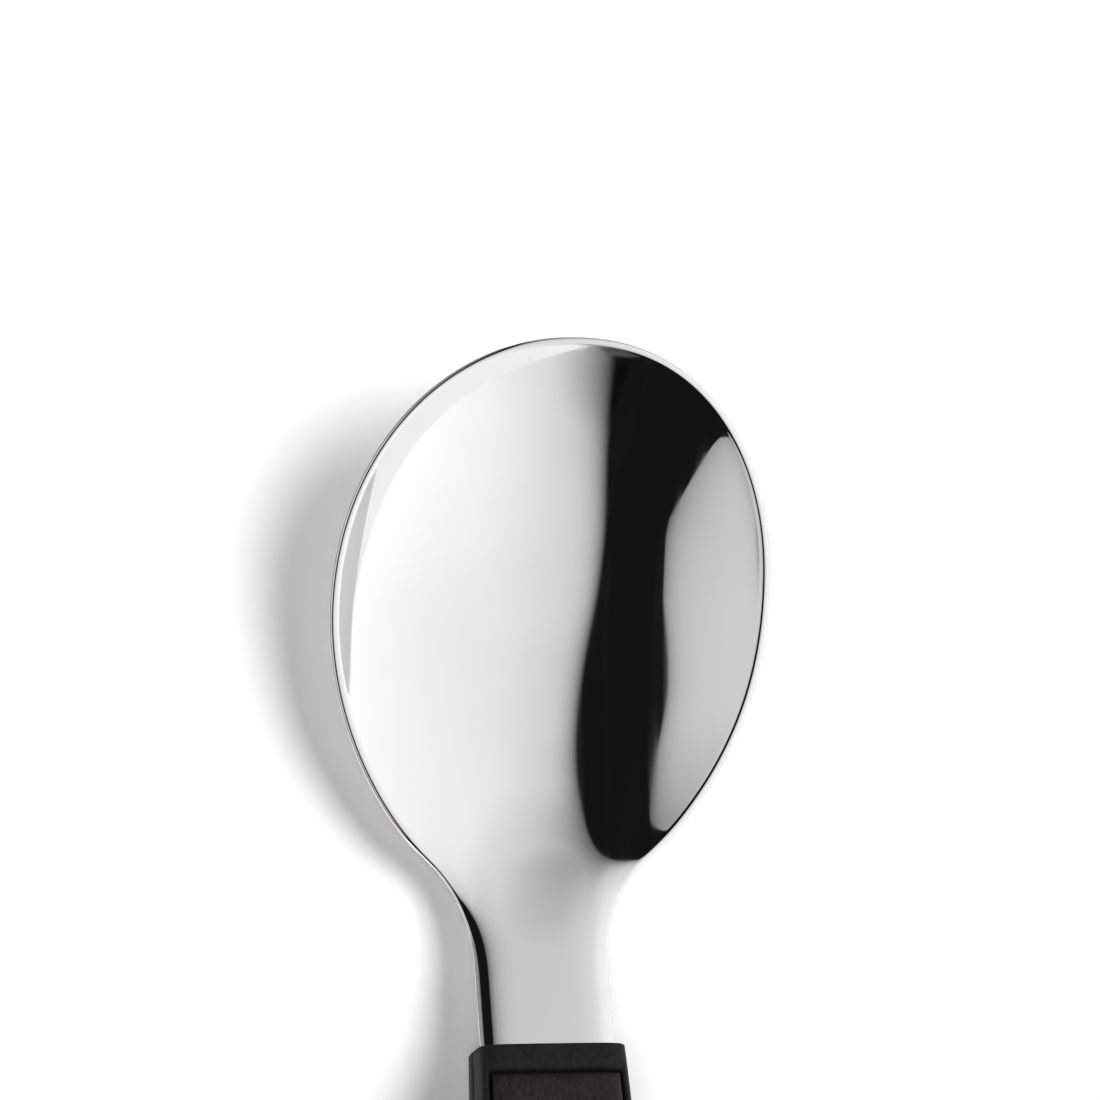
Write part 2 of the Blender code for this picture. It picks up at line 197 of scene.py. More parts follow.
def swell(y, start, top, end):
    """Smooth hump along the head: 0 up to start, 1 at the top, 0 again from end on."""
    return smooth((y - start) / (top - start)) if y < top else smooth((end - y) / (end - top))


def flank(x, y):
    """The flanks of the heel stand a little steeper beside the middle than a plain dish."""
    amount = HEEL_FLANK * swell(y, *HEEL_FLANK_SPAN)
    edge = max(half_width(y), HALF_NECK)
    at_edge = HEEL_FLANK_RIM * (1 - math.exp(-((edge / HEEL_FLANK_REACH) ** 2)))
    return amount * (1 - math.exp(-((x / HEEL_FLANK_REACH) ** 2)) - at_edge * (x / edge) ** 4)


def cross_rise(x, y):
    """Height of the face over its middle line: dished in the bowl, crowned at the edges of the neck."""
    dish = DISH * smooth((y - NECK_LENGTH) / HEEL_BLEND)
    out = (x / HALF_BOWL) ** 2
    rise = dish * x**2 * (1 + BOWL_FLATNESS * out + WALL_STEEPNESS * out**2)
    crown = NECK_CROWN * (1 - smooth((y - CROWN_END) / CROWN_FADE))
    return rise + flank(x, y) - crown * abs(x / max(half_width(y), HALF_NECK)) ** CROWN_POWER


UPPER_FACE = NECK_SHEET / 2 / math.cos(NECK_RISE)
LOWEST = min(side_line(y) - bowl_depth(y) for y in even_steps(0.0, TIP_Y, 400))
COLLAR_HEIGHT = BOWL_SHEET - UPPER_FACE - LOWEST


def face_height(x, y):
    """Height of the upper face over the table, averaged so that the curvature runs on smoothly."""
    total = 0.0
    for step in EASE_STEPS:
        middle = side_line(y + step) - bowl_depth(y + step) - HEEL_DIP * swell(y + step, *HEEL_DIP_SPAN)
        total += middle + cross_rise(x, y + step)
    return COLLAR_HEIGHT + UPPER_FACE + total / len(EASE_STEPS)


print(f"the tang enters the handle {COLLAR_HEIGHT / MM:.2f} mm above the table")

# %% [markdown]
# Middle line of the handle.
# The tang follows the handle, so the handle's line comes next. Behind the mouth it levels out, and it bends
# to the user's right. A curve object could carry it, but a function that gives the point and the three axes
# at any distance back is handier: tang, shells and pads all hang on it. The front pin of the frame sits on
# the line, so it tells where the line starts.

# %% Line of the handle
HANDLE_LENGTH = 130.0 * MM
LEVEL_RUN = 25.0 * MM
BEND_LEAD = 8.0 * MM
BEND_RADIUS = 110.0 * MM
BEND_ANGLE = math.radians(20.0)
LEVEL_RADIUS = LEVEL_RUN / math.sin(NECK_RISE)
LEVEL_HEIGHT = COLLAR_HEIGHT + LEVEL_RADIUS * (1 - math.cos(NECK_RISE))
PIN_FRONT_AT = 18.0 * MM
MOUTH = Vector()


def station(s):
    """The handle's line s behind the mouth: point, axis to the right, axis up, axis back to the butt."""
    turn = min(max(s - BEND_LEAD, 0.0) / BEND_RADIUS, BEND_ANGLE)
    straight = min(s, BEND_LEAD)
    rest = max(s - BEND_LEAD - BEND_RADIUS * BEND_ANGLE, 0.0)
    x = BEND_RADIUS * (1 - math.cos(turn)) + rest * math.sin(turn)
    y = -straight - BEND_RADIUS * math.sin(turn) - rest * math.cos(turn)
    slope = math.asin(min(max(LEVEL_RUN - s, 0.0) / LEVEL_RADIUS, math.sin(NECK_RISE)))
    z = LEVEL_HEIGHT - LEVEL_RADIUS * (1 - math.cos(slope)) + min(s, 0.0) * math.tan(NECK_RISE)
    right = Vector((math.cos(turn), math.sin(turn), 0))
    back = Vector((math.sin(turn) * math.cos(slope), -math.cos(turn) * math.cos(slope), math.sin(slope)))
    return MOUTH + Vector((x, y, z)), right, back.cross(right), back


pin_low, pin_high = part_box("tang_pin_front")
MOUTH = (pin_low + pin_high) / 2 - station(PIN_FRONT_AT)[0]
MOUTH.z = 0.0
print("the mouth of the handle is at", tuple(round(value / MM, 2) for value in MOUTH), "mm")

# %% [markdown]
# The sheet and its rim.
# The steel has an upper face, and a lower face one sheet thickness under it. At the outline a tumbled edge
# joins the two. A bevel tool could round it, but it would be limited by the mesh next to it, so the
# rounding is worked into the formula: near the outline both faces sink into the sheet until they meet.

# %% Points of the sheet
NUDGE = 0.01 * MM
NECK_RIM = {"upper_run": 0.30 * MM, "lower_run": 0.30 * MM, "share": 0.5, "power": 5.0}
TIP_SHEET = 0.55 * MM
TIP_RUN = 0.30 * MM
BOWL_RIM = {"upper_run": 0.55 * MM, "lower_run": 0.25 * MM, "share": 0.72, "power": 2.0}


def head_point(x, y):
    """A point of the upper face. Behind the mouth the tang follows the handle's line."""
    if y > 0:
        return MOUTH + Vector((x, y, face_height(x, y)))
    point, right, up, _ = station(-y)
    lift = NECK_SHEET / 2 / up.z + cross_rise(x, y)
    return point + right * x + Vector((0, 0, lift))


def sink(from_outline, run, depth, power):
    """How far a face has sunk towards the rim's line."""
    reach = 1 - min(from_outline / run, 1.0)
    return depth * (1 - (1 - reach**power) ** (1 / power))


def sheet_points(x, y, from_outline):
    """The points of the upper and the lower face, at a distance from the outline."""
    across = head_point(x + NUDGE, y) - head_point(x - NUDGE, y)
    along = head_point(x, y + NUDGE) - head_point(x, y - NUDGE)
    normal = across.cross(along).normalized()
    thin = smooth((y - NECK_LENGTH) / HEEL_BLEND)
    sheet = mix(NECK_SHEET, BOWL_SHEET, thin)
    rim = {key: mix(NECK_RIM[key], BOWL_RIM[key], thin) for key in NECK_RIM}
    at_tip = smooth((y - WIDEST_Y) / TIP_REACH)
    sheet = mix(sheet, TIP_SHEET, at_tip)
    rim["upper_run"] = mix(rim["upper_run"], TIP_RUN, at_tip)
    upper = sink(from_outline, rim["upper_run"], sheet * rim["share"], rim["power"])
    lower = sink(from_outline, rim["lower_run"], sheet * (1 - rim["share"]), rim["power"])
    point = head_point(x, y)
    return point - normal * upper, point - normal * (sheet - lower)


print(f"the middle of the bowl is {sheet_points(0.0, WIDEST_Y, 1.0)[0].z / MM:.2f} mm over the table")

# %% [markdown]
# Grid of the face and rings of the rim.
# One plain grid would crowd its corners into the rim, where a mirror shows every flaw. So the grid stops
# just inside the outline, and rings that follow the outline carry the rim. A line of points along half of
# the outline gives, for any point, the direction that leads straight away from the edge.

# %% Plan of the mesh
TIP_CORNER = math.radians(40.0)
HEAD_COLUMNS = 80
BOWL_ROWS = 240
TANG_ROWS = 24
SIDE_POINTS = 1200
TIP_POINTS = 600
RIM_BAND = 1.0 * MM
RIM_STEPS = [step * MM for step in (0.0, 0.006, 0.025, 0.06, 0.11, 0.18, 0.27, 0.38, 0.50, 0.64, 0.80)]
CORNER_X = HALF_BOWL * math.cos(TIP_CORNER) ** (2 / TIP_FULLNESS)
CORNER_Y = tip_line(CORNER_X)
side_rows = even_steps(-TANG_LENGTH, WIDEST_Y, SIDE_POINTS)
half_outline = [Vector((half_width(y), y, 0)) for y in side_rows[:-1]]
for turn in even_steps(0.0, math.pi / 2, TIP_POINTS):
    x = HALF_BOWL * math.cos(turn) ** (2 / TIP_FULLNESS)
    half_outline.append(Vector((x, tip_line(x), 0)))
outline_tree = KDTree(len(half_outline))
for i, point in enumerate(half_outline):
    outline_tree.insert(point, i)
outline_tree.balance()


def edge_under(x, y):
    """Nearest point of the outline, and the direction in plan that leads inwards from it."""
    spot = Vector((abs(x), y, 0))
    near = outline_tree.find(spot)[1]
    first = half_outline[max(near - 1, 0)]
    last = half_outline[min(near + 1, len(half_outline) - 1)]
    tangent = (last - first).normalized()
    foot = first + tangent * (spot - first).dot(tangent)
    inwards = Vector((-tangent.y, tangent.x, 0))
    if near == len(half_outline) - 1:
        foot, inwards = Vector((0, TIP_Y, 0)), Vector((0, -1, 0))
    if x < 0:
        foot.x, inwards.x = -foot.x, -inwards.x
    return foot, inwards


def grid_spot(share, y):
    """Plan position of a grid point: rows bulge to the tip, and the last one is the tip's outline."""
    x = share * half_width(y)
    bulge = max(y / CORNER_Y, 0.0) ** 2
    return Vector((x, y + bulge * (tip_line(share * CORNER_X) - CORNER_Y), 0))


def drawn_in(spot):
    """The grid point moved away from the outline, to leave room for the rings."""
    foot, inwards = edge_under(spot.x, spot.y)
    share = max(1 - (spot - foot).length / (4 * RIM_BAND), 0.0)
    return spot + inwards * RIM_BAND * share


print(f"half the outline is followed by {len(half_outline)} points")

# %% [markdown]
# The steel head.
# Bowl, neck and tang are one stamping, so they are one mesh: the upper face, the lower face, and the end of
# the tang. The two faces share the points of the outermost ring. The tang's two holes are cut by a boolean,
# because they lie inside the handle, where nothing mirrors them.

# %% Plan of the head's points
columns = even_steps(-1.0, 1.0, HEAD_COLUMNS)
rows = even_steps(-TANG_LENGTH, SHOULDER - SHOULDER_RUN, TANG_ROWS)[:-1]
rows += even_steps(SHOULDER - SHOULDER_RUN, CORNER_Y, BOWL_ROWS)
spots = [grid_spot(share, y) for y in rows for share in columns]
width = len(columns)
quads = [
    (r * width + c, r * width + c + 1, (r + 1) * width + c + 1, (r + 1) * width + c)
    for r in range(len(rows) - 1)
    for c in range(width - 1)
]
chain = [r * width for r in range(len(rows))]
chain += [(len(rows) - 1) * width + c for c in range(1, width)]
chain += [r * width + width - 1 for r in reversed(range(len(rows) - 1))]
feet = [edge_under(spots[i].x, spots[i].y) for i in chain]
plan = [(drawn_in(spot), 1.0) for spot in spots]
previous = chain
for step in reversed(RIM_STEPS):
    ring = list(range(len(plan), len(plan) + len(chain)))
    plan += [(foot + inwards * step, step) for foot, inwards in feet]
    for i in range(len(chain) - 1):
        quads.append((previous[i + 1], previous[i], ring[i], ring[i + 1]))
    previous = ring
print(f"each face of the head has {len(plan)} points")

# %% Make the head


def add_piece(name, points, faces, weld):
    """A smooth mesh object. Points closer than weld become one, and the faces then look outwards."""
    shape = bmesh.new()
    corners = [shape.verts.new(point) for point in points]
    for face in faces:
        shape.faces.new([corners[i] for i in face])
    bmesh.ops.remove_doubles(shape, verts=shape.verts, dist=weld)
    bmesh.ops.recalc_face_normals(shape, faces=shape.faces)
    mesh = bpy.data.meshes.new(name)
    shape.to_mesh(mesh)
    shape.free()
    mesh.shade_smooth()
    piece = bpy.data.objects.new(name, mesh)
    bpy.context.scene.collection.objects.link(piece)
    return piece


pairs = [sheet_points(spot.x, spot.y, edge) for spot, edge in plan]
upper = [pair[0] for pair in pairs]
lower = [pair[1] for pair in pairs]
count = len(plan)
faces = quads + [tuple(count + i for i in reversed(quad)) for quad in quads]
ring_starts = [count - len(chain) * (k + 1) for k in range(len(RIM_STEPS))]
tang_end = ring_starts + list(range(width))
tang_end += [start + len(chain) - 1 for start in reversed(ring_starts)]
for near, far in zip(tang_end, tang_end[1:]):
    faces.append((far, near, count + near, count + far))
head = add_piece("steel_head", upper + lower, faces, 0.1 * NUDGE)
print(f"steel_head has {len(head.data.polygons)} faces")

# %% Holes for the pins
PIN_BORE = 3.8 * MM
PIN_REAR_AT = 38.0 * MM
for at in (PIN_FRONT_AT, PIN_REAR_AT):
    point, right, up, back = station(at)
    shape = bmesh.new()
    bmesh.ops.create_cone(
        shape, cap_ends=True, segments=48, radius1=PIN_BORE / 2, radius2=PIN_BORE / 2, depth=4 * NECK_SHEET
    )
    drill = bpy.data.meshes.new("drill")
    shape.to_mesh(drill)
    shape.free()
    cutter = bpy.data.objects.new("drill", drill)
    cutter.matrix_world = Matrix.Translation(point) @ Matrix((right, -back, up)).transposed().to_4x4()
    bpy.context.scene.collection.objects.link(cutter)
    modifier = head.modifiers.new("pin_hole", "BOOLEAN")
    modifier.object = cutter
    bpy.context.view_layer.update()
    bored = bpy.data.meshes.new_from_object(head.evaluated_get(bpy.context.evaluated_depsgraph_get()))
    head.modifiers.clear()
    head.data = bored
    bpy.data.objects.remove(cutter)
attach(head, "root")
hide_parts("spoon_head")
print(f"with its holes the head has {len(head.data.polygons)} faces")

# %% [markdown]
# Sections of the handle.
# Cut across, the handle is a superellipse: nearly a rectangle at the collar, and a round palm swell further
# back. Its half sizes grow from collar to palm, taper behind it, and close in a rounded butt. The top of the
# collar droops a little towards the mouth, which catches the light differently from the pad behind it.

# %% Sizes of the handle
COLLAR_HALF_WIDTH = HALF_NECK + 0.6 * MM
COLLAR_HALF_HEIGHT = NECK_SHEET / 2 + 2.3 * MM
COLLAR_FLARE = math.radians(2.0)
COLLAR_SQUARENESS = 6.0
PALM_AT = 72.0 * MM
PALM_WIDTH = 26.0 * MM
PALM_TOP = 11.5 * MM
PALM_SQUARENESS = 2.5
BUTT_WIDTH = 22.4 * MM
BUTT_ROUND = 12.0 * MM
PAD_START = 2.3 * MM
PAD_END = HANDLE_LENGTH - 14.0 * MM
PAD_END_ROUND = 8.0 * MM
PAD_PROUD = 0.8 * MM
POCKET_DEPTH = 1.0 * MM
PAD_INSET_COLLAR = 1.1 * MM
PAD_INSET_PALM = 3.6 * MM
REST_SINK = 0.6 * MM
PALM_BOTTOM = LEVEL_HEIGHT - PAD_PROUD + REST_SINK
DROOP = 0.10 * MM
SEAM = 0.10 * MM
print(f"the pad runs from {PAD_START / MM:.1f} to {PAD_END / MM:.1f} mm behind the mouth")

# %% Sections along the handle


def open_size(s, collar, palm):
    """A half size of the handle at s, as if the handle went on behind the butt."""
    if s < PALM_AT:
        u = s / PALM_AT
        return mix(collar, palm, smooth(u)) + math.tan(COLLAR_FLARE) * s * (1 - u) ** 2
    taper = smooth((s - PALM_AT) / (HANDLE_LENGTH - PALM_AT))
    return palm * mix(1.0, BUTT_WIDTH / PALM_WIDTH, taper)


def section(s, side, wall=0.0):
    """Half width, half height and squareness at s, a wall inside the skin, on the upper or lower side."""
    width = open_size(s, COLLAR_HALF_WIDTH, PALM_WIDTH / 2) - wall
    height = open_size(s, COLLAR_HALF_HEIGHT, PALM_TOP if side > 0 else PALM_BOTTOM) - wall
    height -= DROOP * max(1 - s / PAD_START, 0.0) ** 2
    closing = max(s - HANDLE_LENGTH + BUTT_ROUND, 0.0) / BUTT_ROUND
    round_off = math.sqrt(max(1 - closing**2, 0.0))
    squareness = mix(COLLAR_SQUARENESS, PALM_SQUARENESS, smooth(s / PALM_AT))
    return width * round_off, height * round_off, squareness


def skin_rise(lateral, width, height, squareness):
    """Height of the skin over the tang's plane, lateral to the side of the middle."""
    share = min(abs(lateral) / max(width, NUDGE), 1.0)
    return SEAM / 2 + max(height - SEAM / 2, 0.0) * (1 - share**squareness) ** (1 / squareness)


def pad_half_width(s, side):
    return section(s, side)[0] - mix(PAD_INSET_COLLAR, PAD_INSET_PALM, smooth(s / PALM_AT))


def pad_back_end(share):
    """Where the pad ends, at a share of its half width: the end is a shallow arc."""
    return PAD_END - PAD_END_ROUND * share**2


print("half width and height at the palm:", [round(size / MM, 2) for size in section(PALM_AT, 1)[:2]])

# %% [markdown]
# The two half shells.
# A hollow handle is moulded in two halves and welded along the tang's plane. Each half has a pocket for the
# pad. The pocket could be cut out with a boolean, but its lip would then be sharp and ragged. Instead the
# rows and columns of the mesh follow the pocket's outline, so that a few of them can roll over the lip and
# drop to the floor. A second skin inside makes the wall, and fits closely round the neck at the mouth.

# %% Rows and columns of a shell
PAD_GAP = 0.20 * MM
LIP = 0.70 * MM
FRONT_SPREAD = 1.8
FRONT_REACH = 0.45 * MM
FRONT_ROUND = 0.18 * MM
WALL = 1.5 * MM
MOUTH_DEPTH = 1.3 * MM
NECK_PLAY = 0.08 * MM
MOUTH_SQUARENESS = 14.0
SIDE_COLUMNS = 12
FLOOR_COLUMNS = 28
FLOOR_ROWS = 60
BACK_ROWS = 22
ROLL = [math.radians(turn) for turn in (0, 22, 45, 68, 90)]
lip_steps = [(LIP * (1 - math.sin(turn)), LIP * (1 - math.cos(turn))) for turn in ROLL]
lip_steps.append((0.0, POCKET_DEPTH))
front_steps = [(FRONT_ROUND * (1 - math.cos(turn)), FRONT_ROUND * (1 - math.sin(turn))) for turn in ROLL]


def shell_rows():
    """Each row: s and the s that sets its columns, for a share of the pad's width; its sink; its paring."""
    front_end = PAD_START - PAD_GAP
    fixed = [(s - FRONT_REACH, 0.0, pare) for s, pare in front_steps]
    bead_end = front_end - FRONT_SPREAD * LIP
    fixed += [(s, 0.0, 0.0) for s in even_steps(FRONT_ROUND - FRONT_REACH, bead_end, 6)[1:-1]]
    fixed += [(front_end - FRONT_SPREAD * out, sink, 0.0) for out, sink in lip_steps]
    made = [(lambda share, s=s: (s, s), sink, pare) for s, sink, pare in fixed]

    def on_floor(share, along):
        s = mix(front_end, pad_back_end(share) + PAD_GAP, along)
        return s, s

    def behind(share, out, along):
        s = pad_back_end(share) + PAD_GAP + out
        return mix(s, HANDLE_LENGTH, along), s

    for along in even_steps(0.0, 1.0, FLOOR_ROWS)[1:-1]:
        made.append((lambda share, a=along: on_floor(share, a), POCKET_DEPTH, 0.0))
    for out, sink in reversed(lip_steps):
        made.append((lambda share, out=out: behind(share, out, 0.0), sink, 0.0))
    for along in even_steps(0.0, math.pi / 2, BACK_ROWS)[1:]:
        made.append((lambda share, a=math.sin(along): behind(share, LIP, a), 0.0, 0.0))
    return made


def shell_columns():
    """Each column: share of the pad's width, how far outside the pad, sink, part of the way to the seam."""
    side = [(1.0, LIP, 0.0, part) for part in even_steps(1.0, 0.0, SIDE_COLUMNS)[:-1]]
    lip = [(1.0, out, sink, 0.0) for out, sink in lip_steps]
    floor = [(share, 0.0, POCKET_DEPTH, 0.0) for share in even_steps(1.0, -1.0, FLOOR_COLUMNS)[1:-1]]
    mirrored = [(-share, out, sink, part) for share, out, sink, part in reversed(side + lip)]
    return side + lip + floor + mirrored


print(f"a shell has {len(shell_rows())} rows and {len(shell_columns())} columns")

# %% Skins of a shell


def shell_spot(side, row, column):
    """A point of the outer skin."""
    s_at, row_sink, pare = row
    share, out, column_sink, to_seam = column
    s, s_column = s_at(share)
    width, height, squareness = section(s, side)
    lateral = abs(share) * pad_half_width(s_column, side) + out + PAD_GAP * (abs(share) == 1)
    lateral *= width / section(s_column, side)[0]
    width = width - pare
    height = height - pare
    lateral = min(lateral, width)
    if to_seam > 0 and width > 0:
        power = squareness / 2
        turn = math.acos((lateral / width) ** power) * (1 - to_seam)
        lateral = width * math.cos(turn) ** (1 / power)
        rise = SEAM / 2 + max(height - SEAM / 2, 0.0) * math.sin(turn) ** (1 / power)
    else:
        rise = skin_rise(lateral, width, height, squareness)
    point, right, up, _ = station(s)
    return point + right * math.copysign(lateral, share) + up * side * (rise - min(row_sink, column_sink))


def wall_spot(side, row, turn):
    """A point of the inner skin, on a half turn from the right seam to the left one."""
    s = row[0](1.0)[0]
    width, height, squareness = section(s, side, WALL)
    if s < MOUTH_DEPTH:
        width, height = HALF_NECK + NECK_PLAY, NECK_SHEET / 2 + NECK_PLAY
        squareness = MOUTH_SQUARENESS
    across = math.copysign(abs(math.cos(turn)) ** (2 / squareness), math.cos(turn)) * width
    rise = SEAM / 2 + max(height - SEAM / 2, 0.0) * abs(math.sin(turn)) ** (2 / squareness)
    point, right, up, _ = station(min(s, HANDLE_LENGTH - WALL))
    return point + right * across + up * side * rise


print(f"the wall of a shell is {WALL / MM:.1f} mm thick")

# %% Make the half shells


def add_shell(name, outer, inner, weld=0.2 * NUDGE):
    """A body between two skins of rows, closed by a strip along each of their four borders."""
    width = len(outer[0])
    last = len(outer) - 1
    count = width * len(outer)
    points = [point for row in outer + inner for point in row]
    faces = []
    for r in range(last):
        for c in range(width - 1):
            quad = (r * width + c, r * width + c + 1, (r + 1) * width + c + 1, (r + 1) * width + c)
            faces += [quad, tuple(count + i for i in reversed(quad))]
    border = list(range(width)) + [r * width + width - 1 for r in range(1, last + 1)]
    border += [last * width + c for c in reversed(range(width - 1))]
    border += [r * width for r in reversed(range(last))]
    for near, far in zip(border, border[1:]):
        faces.append((far, near, count + near, count + far))
    return add_piece(name, points, faces, weld)


for name, node, side in (("upper_handle_half", "upper_shell", 1), ("lower_handle_half", "lower_shell", -1)):
    rows = shell_rows()
    columns = shell_columns()
    turns = even_steps(0.0, math.pi, len(columns) - 1)
    outer = [[shell_spot(side, row, column) for column in columns] for row in rows]
    inner = [[wall_spot(side, row, turn) for turn in turns] for row in rows]
    half = add_shell(name, outer, inner)
    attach(half, "root")
    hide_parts(node)
    print(f"{name} has {len(half.data.polygons)} faces")

# %% [markdown]
# The soft pads.
# The raised panel on top is a pad of softer rubber let into the pocket, and its twin under the handle is
# what the spoon rests on. Each is almost flush at the collar, rises to 0.8 mm behind it, and has a rounded
# edge. A bevel would do for a box, but this pad follows a swelling handle, so its rows and columns roll over
# the edge as the lip of the pocket does.

# %% Rows and columns of a pad
PAD_ROUND = 0.80 * MM
PAD_RISE = 14.0 * MM
PAD_FRONT_SHARE = 0.35
PAD_COLUMNS = 28
PAD_ROWS = 60
pad_steps = [(PAD_ROUND * (1 - math.cos(turn)), PAD_ROUND * (1 - math.sin(turn))) for turn in ROLL]


def pad_lift(s):
    """How far the pad stands proud: almost flush at the collar, more towards the palm."""
    return PAD_PROUD * mix(PAD_FRONT_SHARE, 1.0, smooth((s - PAD_START) / PAD_RISE))


def pad_rows():
    """Each row: s for a share of the pad's width, and how far its edge drops."""
    made = [(lambda share, s=PAD_START + FRONT_SPREAD * inset: s, drop) for inset, drop in pad_steps]

    def between(share, along):
        return mix(PAD_START + FRONT_SPREAD * PAD_ROUND, pad_back_end(share) - PAD_ROUND, along)

    for along in even_steps(0.0, 1.0, PAD_ROWS)[1:-1]:
        made.append((lambda share, a=along: between(share, a), 0.0))
    for inset, drop in reversed(pad_steps):
        made.append((lambda share, inset=inset: pad_back_end(share) - inset, drop))
    return made


def pad_columns():
    """Each column: share of the pad's width, how far inside its side edge, and how far the edge drops."""
    right = [(1.0, inset, drop) for inset, drop in pad_steps]
    middle = [(share, PAD_ROUND, 0.0) for share in even_steps(1.0, -1.0, PAD_COLUMNS)[1:-1]]
    left = [(-1.0, inset, drop) for inset, drop in reversed(pad_steps)]
    return right + middle + left


print(f"a pad has {len(pad_rows())} rows and {len(pad_columns())} columns")

# %% Make the pads


def pad_spot(side, row, column, outside):
    """A point of the pad's outer face, or of the face that is bonded into the pocket."""
    share, inset, side_drop = column
    s = row[0](share)
    lateral = share * (pad_half_width(s, side) - inset)
    lift = pad_lift(s) - max(row[1], side_drop) if outside else PAD_GAP / 2 - POCKET_DEPTH
    point, right, up, _ = station(s)
    spot = point + right * lateral + up * side * (skin_rise(lateral, *section(s, side)) + lift)
    spot.z = min(max(spot.z, 0.0), cad_box[1][2])
    return spot


for name, node, side in (("upper_soft_pad", "upper_grip_pad", 1), ("lower_soft_pad", "lower_grip_pad", -1)):
    outer = [[pad_spot(side, row, column, True) for column in pad_columns()] for row in pad_rows()]
    inner = [[pad_spot(side, row, column, False) for column in pad_columns()] for row in pad_rows()]
    pad = add_shell(name, outer, inner)
    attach(pad, "root")
    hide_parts(node)
    print(f"{name} has {len(pad.data.polygons)} faces")

# %% [markdown]
# Polished steel.
# A mirror shows its surroundings, so its own colour is only a slight grey. What makes it real is how unevenly
# it was buffed: fine streaks, all in one direction, where the reflection is a little less sharp. A scanned
# scratch picture would tile, so a noise stretched along one direction stands in for it, and drives the
# roughness. The few nodes that such a look needs come first, as helpers that the other looks share.

# %% Helpers for looks


def new_look(name, colour, roughness, metallic=0.0):
    """A material whose shader starts from plain values. Returns it with its nodes, links and shader."""
    look = bpy.data.materials.new(name)
    look.use_nodes = True
    shader = look.node_tree.nodes["Principled BSDF"]
    shader.inputs["Base Color"].default_value = (*colour, 1.0)
    shader.inputs["Roughness"].default_value = roughness
    shader.inputs["Metallic"].default_value = metallic
    return look, look.node_tree.nodes, look.node_tree.links, shader


def add_noise(nodes, links, scale, stretch=(1.0, 1.0, 1.0), turn=0.0, detail=2.0):
    """Noise over the object's own coordinates, stretched and turned in plan."""
    place = nodes.new("ShaderNodeTexCoord")
    mapping = nodes.new("ShaderNodeMapping")
    mapping.inputs["Rotation"].default_value = (0.0, 0.0, turn)
    mapping.inputs["Scale"].default_value = stretch
    noise = nodes.new("ShaderNodeTexNoise")
    noise.inputs["Scale"].default_value = scale
    noise.inputs["Detail"].default_value = detail
    links.new(place.outputs["Object"], mapping.inputs["Vector"])
    links.new(mapping.outputs["Vector"], noise.inputs["Vector"])
    return noise.outputs["Fac"]


def add_range(nodes, links, source, low, high, start=0.3, end=0.7):
    """The noise between start and end, spread from low to high."""
    spread = nodes.new("ShaderNodeMapRange")
    spread.inputs["From Min"].default_value = start
    spread.inputs["From Max"].default_value = end
    spread.inputs["To Min"].default_value = low
    spread.inputs["To Max"].default_value = high
    links.new(source, spread.inputs["Value"])
    return spread.outputs["Result"]


def add_tint(nodes, links, source, dark, light):
    """A colour that runs from dark to light with the noise."""
    ramp = nodes.new("ShaderNodeValToRGB")
    ramp.color_ramp.elements[0].position = 0.3
    ramp.color_ramp.elements[0].color = (*dark, 1.0)
    ramp.color_ramp.elements[1].position = 0.7
    ramp.color_ramp.elements[1].color = (*light, 1.0)
    links.new(source, ramp.inputs["Fac"])
    return ramp.outputs["Color"]


def add_grain(nodes, links, shader, source, depth, strength):
    """Relief of a given depth on the surface."""
    bump = nodes.new("ShaderNodeBump")
    bump.inputs["Distance"].default_value = depth
    bump.inputs["Strength"].default_value = strength
    links.new(source, bump.inputs["Height"])
    links.new(bump.outputs["Normal"], shader.inputs["Normal"])


print("a look is built from noise, a range, a tint and a relief")

# %% Steel look
STREAK_TURN = math.radians(-35.0)
STREAK_SCALE = 900.0
STREAK_STRETCH = (1.0, 0.03, 0.2)
SHARPEST = 0.03
DULLEST = 0.09
steel, nodes, links, shader = new_look("buffed_steel", (0.80, 0.80, 0.79), 0.04, 1.0)
streaks = add_noise(nodes, links, STREAK_SCALE, STREAK_STRETCH, STREAK_TURN, 3.0)
links.new(add_range(nodes, links, streaks, SHARPEST, DULLEST, 0.45, 0.75), shader.inputs["Roughness"])
clouds = add_noise(nodes, links, 120.0)
tint = add_tint(nodes, links, clouds, (0.79, 0.79, 0.78), (0.81, 0.81, 0.80))
links.new(tint, shader.inputs["Base Color"])
head.data.materials.clear()
head.data.materials.append(steel)
print(f"steel roughness runs from {SHARPEST} to {DULLEST}")

# %% [markdown]
# Black mouldings.
# The shells are a hard plastic with a fine spark-eroded grain, and the pads a softer rubber with a little
# less shine. Flat black would look like a hole, so both vary slightly in colour and roughness, and carry a
# relief of a few hundredths of a millimetre. The hidden pieces keep their solids from the frame and get
# plain finishes.

# %% Plastic, rubber and pin looks
FINE_GRAIN = 2800.0
CLOUDS = 260.0


def moulded(name, dark, light, smoothest, roughest, depth):
    """A matte moulding with a fine grain."""
    look, nodes, links, shader = new_look(name, dark, roughest)
    shader.inputs["Specular IOR Level"].default_value = 0.25
    grain = add_noise(nodes, links, FINE_GRAIN, (1.0, 0.5, 1.0), detail=4.0)
    clouds = add_noise(nodes, links, CLOUDS, detail=3.0)
    links.new(add_tint(nodes, links, grain, dark, light), shader.inputs["Base Color"])
    links.new(add_range(nodes, links, clouds, smoothest, roughest), shader.inputs["Roughness"])
    add_grain(nodes, links, shader, grain, depth, 0.8)
    return look


